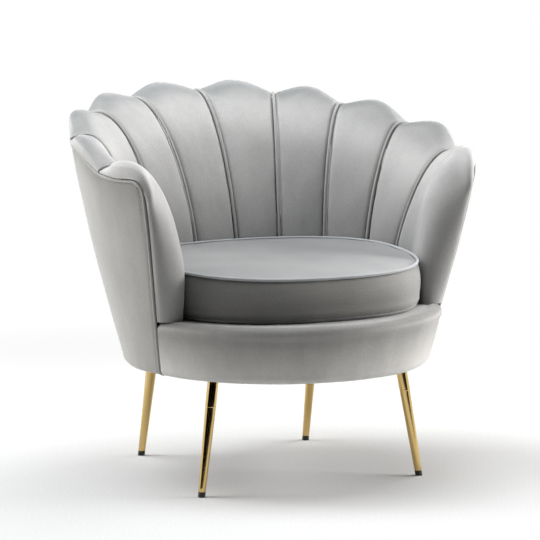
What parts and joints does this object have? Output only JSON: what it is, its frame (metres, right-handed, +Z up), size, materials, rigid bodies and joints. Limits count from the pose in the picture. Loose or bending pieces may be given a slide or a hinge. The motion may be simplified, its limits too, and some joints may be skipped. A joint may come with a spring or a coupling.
{
  "type": "upholstered tub armchair",
  "caption": "Low round tub armchair with a channelled scallop back, piped seams, a loose round seat cushion and splayed slim metal legs.",
  "frame": {"origin": "on the floor, under the middle of the chair from side to side and from front to rear", "axes": "+X to the right as one faces the chair, -Y towards the front where the sitter gets in, +Z up"},
  "size_m": [0.8034, 0.7394, 0.7476],
  "materials": {
    "inner_velvet": "short-pile velvet, pale warm grey, padded channels",
    "outer_velvet": "the same velvet, stretched flat over the outside",
    "border_velvet": "the same velvet round the seat front",
    "cushion_velvet": "the same velvet on the loose seat cushion",
    "piping": "velvet-covered cord",
    "cushion_piping": "velvet-covered cord round the cushion",
    "deck_cloth": "plain cloth over the seat deck",
    "dust_cover": "black non-woven cloth",
    "webbing": "woven elastic webbing",
    "plywood": "plain plywood, unseen",
    "gold_leg": "mirror-polished gold plating on steel tube",
    "steel_plate": "zinc-plated",
    "glide": "matt black glide"
  },
  "bodies": {
    "chair": {"base_board": "plywood", "dust_cover": "dust_cover", "seat_rail": "plywood", "webbing_ring": "plywood", "webbing_along_1": "webbing", "webbing_along_2": "webbing", "webbing_along_3": "webbing", "webbing_across_1": "webbing", "webbing_across_2": "webbing", "webbing_across_3": "webbing", "seat_deck": "deck_cloth", "back_hoop": "plywood", "arm_post_right": "plywood", "arm_post_left": "plywood", "back_post_right": "plywood", "back_post_centre": "plywood", "back_post_left": "plywood", "channel_right_1": "inner_velvet", "channel_right_2": "inner_velvet", "channel_right_3": "inner_velvet", "channel_right_4": "inner_velvet", "channel_left_1": "inner_velvet", "channel_left_2": "inner_velvet", "channel_left_3": "inner_velvet", "channel_left_4": "inner_velvet", "channel_right_arm": "inner_velvet", "channel_left_arm": "inner_velvet", "piping_right_1": "piping", "piping_right_2": "piping", "piping_right_3": "piping", "piping_right_4": "piping", "piping_left_1": "piping", "piping_left_2": "piping", "piping_left_3": "piping", "piping_left_4": "piping", "piping_centre": "piping", "outer_welt": "piping", "outer_panel": "outer_velvet", "front_border": "border_velvet", "leg_front_right": "gold_leg", "leg_plate_front_right": "steel_plate", "glide_front_right": "glide", "leg_front_left": "gold_leg", "leg_plate_front_left": "steel_plate", "glide_front_left": "glide", "leg_rear_right": "gold_leg", "leg_plate_rear_right": "steel_plate", "glide_rear_right": "glide", "leg_rear_left": "gold_leg", "leg_plate_rear_left": "steel_plate", "glide_rear_left": "glide"},
    "cushion": {"seat_cushion": "cushion_velvet", "cushion_cord_top": "cushion_piping", "cushion_cord_bottom": "cushion_piping"}
  },
  "joints": [
    {"name": "cushion_lift", "type": "slide", "parent": "chair", "child": "cushion", "axis": [0, 0, 1], "range_m": [0, 0.45]}
  ]
}
